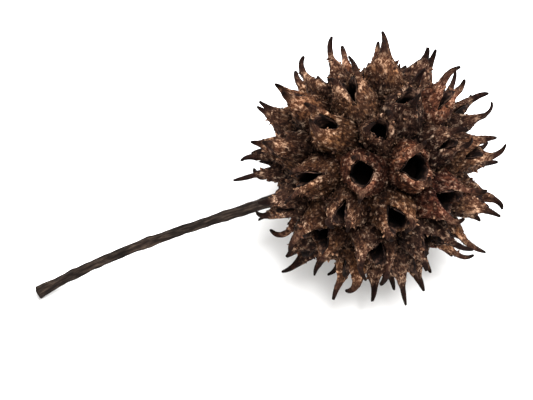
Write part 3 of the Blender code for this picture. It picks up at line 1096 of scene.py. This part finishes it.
def draw_stalk():
    """The stalk, drawn out ring by ring from its root to its scar, then ribbed and lumpy."""
    bm = bmesh.new()
    bmesh.ops.create_circle(
        bm,
        cap_ends=True,
        segments=STALK_SIDES,
        radius=stalk_girth(0),
        matrix=stalk_frame(0),
    )
    face = bm.faces[:][0]
    along = bm.verts.layers.float.new("along")
    for k in range(STALK_STEPS):
        made = bmesh.ops.extrude_face_region(bm, geom=whole_region([face]))["geom"]
        verts = [g for g in made if isinstance(g, bmesh.types.BMVert)]
        face = next(g for g in made if isinstance(g, bmesh.types.BMFace))
        here, there = k / STALK_STEPS, (k + 1) / STALK_STEPS
        growth = stalk_girth(there) / stalk_girth(here)
        shrink = Matrix.Diagonal((growth, growth, 1, 1))
        step = stalk_frame(there) @ shrink @ stalk_frame(here).inverted()
        bmesh.ops.transform(bm, matrix=step, verts=verts)
        for vert in verts:
            vert[along] = there
    bmesh.ops.inset_individual(bm, faces=[face], thickness=SCAR_RIM, depth=-SCAR_DEPTH)
    bmesh.ops.recalc_face_normals(bm, faces=bm.faces[:])
    sort_by_place(bm)
    bm = rounded(bm)
    bm.normal_update()
    along = bm.verts.layers.float["along"]
    side_x = bm.verts.layers.float.new("side_x")
    side_y = bm.verts.layers.float.new("side_y")
    for vert in bm.verts:
        side = (stalk_frame(vert[along]).inverted() @ vert.co).xy.normalized()
        vert[side_x], vert[side_y] = side
        rib = math.cos(STALK_RIB_COUNT * math.atan2(side.y, side.x))
        lump = noise.noise(vert.co * STALK_LUMP_SCALE)
        vert.co += vert.normal * (STALK_RADIUS * STALK_RIBS * rib + STALK_WAVER * lump)
    return bm


STALK_DARK = (0.0028, 0.0018, 0.0014)
STALK_BARK = (0.0128, 0.0086, 0.0068)
STALK_GREY = (0.050, 0.038, 0.030)
# How the bark's streaks run: two ways across the stalk, and along it
BARK_STREAKS = (1, 1, 7)
BARK_STREAK_SCALE = 3.0
BARK_PATCH_SCALE = 260
BARK_PIT_SCALE = 2400
BARK_RELIEF = 0.00015


def stalk_finish():
    """Thin dull bark: near black brown, with paler grey streaks down its length."""
    material, tree, shader, place = new_finish("stalk bark", roughness=0.6, specular=0.06)
    sides = {k: mark(tree, name) for k, name in enumerate(("side_x", "side_y", "along"))}
    run = add_node(tree, "ShaderNodeCombineXYZ", sides).outputs["Vector"]
    run = add_node(
        tree, "ShaderNodeMapping", {"Vector": run, "Scale": BARK_STREAKS}
    ).outputs["Vector"]
    streaks = speckle(tree, run, BARK_STREAK_SCALE, detail=5.0, roughness=0.65)
    patches = speckle(tree, place, BARK_PATCH_SCALE, detail=3.0)
    colour = ramp(tree, streaks, (0.38, STALK_DARK), (0.52, STALK_BARK), (0.68, STALK_GREY))
    shade = ramp(tree, patches, (0.35, (0.6, 0.58, 0.56)), (0.65, (1.4, 1.3, 1.2)))
    colour = blend(tree, 1.0, colour, shade, "MULTIPLY")
    tree.links.new(colour, shader.inputs["Base Color"])
    relief = blend(tree, 0.5, streaks, speckle(tree, place, BARK_PIT_SCALE, detail=3.0))
    grain_relief(tree, relief, shader, BARK_RELIEF)
    return material


stalk = draw_stalk()
stalk_mesh = bpy.data.meshes.new("stalk_bark")
stalk.to_mesh(stalk_mesh)
stalk.free()
stalk_mesh.materials.append(stalk_finish())
stalk_mesh.shade_smooth()
stalk_piece = link_piece("stalk_bark", stalk_mesh)
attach(stalk_piece, "root")
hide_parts("stalk")


# The studio: a plain pale floor, one large soft light over the ball, a little to its right, and
# an even pale sky all round. The camera looks steeply down from the front.
FLOOR_HALF_SIZE = 1.5
FLOOR_COLOUR = (0.88, 0.88, 0.88)
SKY_COLOUR = (1.0, 0.99, 0.97)
SKY_STRENGTH = 1.25
CAMERA_ELEVATION = math.radians(60)
CAMERA_DISTANCE = 0.42
CAMERA_AIM = Vector((0.0, -0.002, 0.013))
CAMERA_LENS = 200
LAMP_PLACE = Vector((0.10, -0.04, 0.64))
LAMP_SIZE = 0.40
LAMP_POWER = 9.5

floor_bm = bmesh.new()
bmesh.ops.create_grid(floor_bm, x_segments=1, y_segments=1, size=FLOOR_HALF_SIZE)
floor_mesh = bpy.data.meshes.new("floor")
floor_bm.to_mesh(floor_mesh)
floor_bm.free()
floor_finish, _, floor_shader, _ = new_finish("pale floor", roughness=0.9, specular=0.2)
floor_shader.inputs["Base Color"].default_value = (*FLOOR_COLOUR, 1)
floor_mesh.materials.append(floor_finish)
floor_piece = link_piece("floor", floor_mesh)

world = bpy.data.worlds.new("pale sky")
bpy.context.scene.world = world
world.use_nodes = True
sky = world.node_tree.nodes["Background"]
sky.inputs["Color"].default_value = (*SKY_COLOUR, 1)
sky.inputs["Strength"].default_value = SKY_STRENGTH

lamp = bpy.data.lights.new("overhead light", "AREA")
lamp.shape = "DISK"
lamp.size = LAMP_SIZE
lamp.energy = LAMP_POWER
lamp_piece = bpy.data.objects.new("overhead light", lamp)
lamp_piece.location = LAMP_PLACE
lamp_piece.rotation_euler = (-LAMP_PLACE).to_track_quat("-Z", "Y").to_euler()
bpy.context.scene.collection.objects.link(lamp_piece)

bpy.context.scene.view_settings.view_transform = "Standard"
camera = bpy.data.cameras.new("camera")
camera.lens = CAMERA_LENS
camera_piece = bpy.data.objects.new("camera", camera)
look = Vector((0, math.cos(CAMERA_ELEVATION), -math.sin(CAMERA_ELEVATION)))
camera_piece.location = CAMERA_AIM - look * CAMERA_DISTANCE
camera_piece.rotation_euler = look.to_track_quat("-Z", "Y").to_euler()
bpy.context.scene.collection.objects.link(camera_piece)
bpy.context.scene.camera = camera_piece
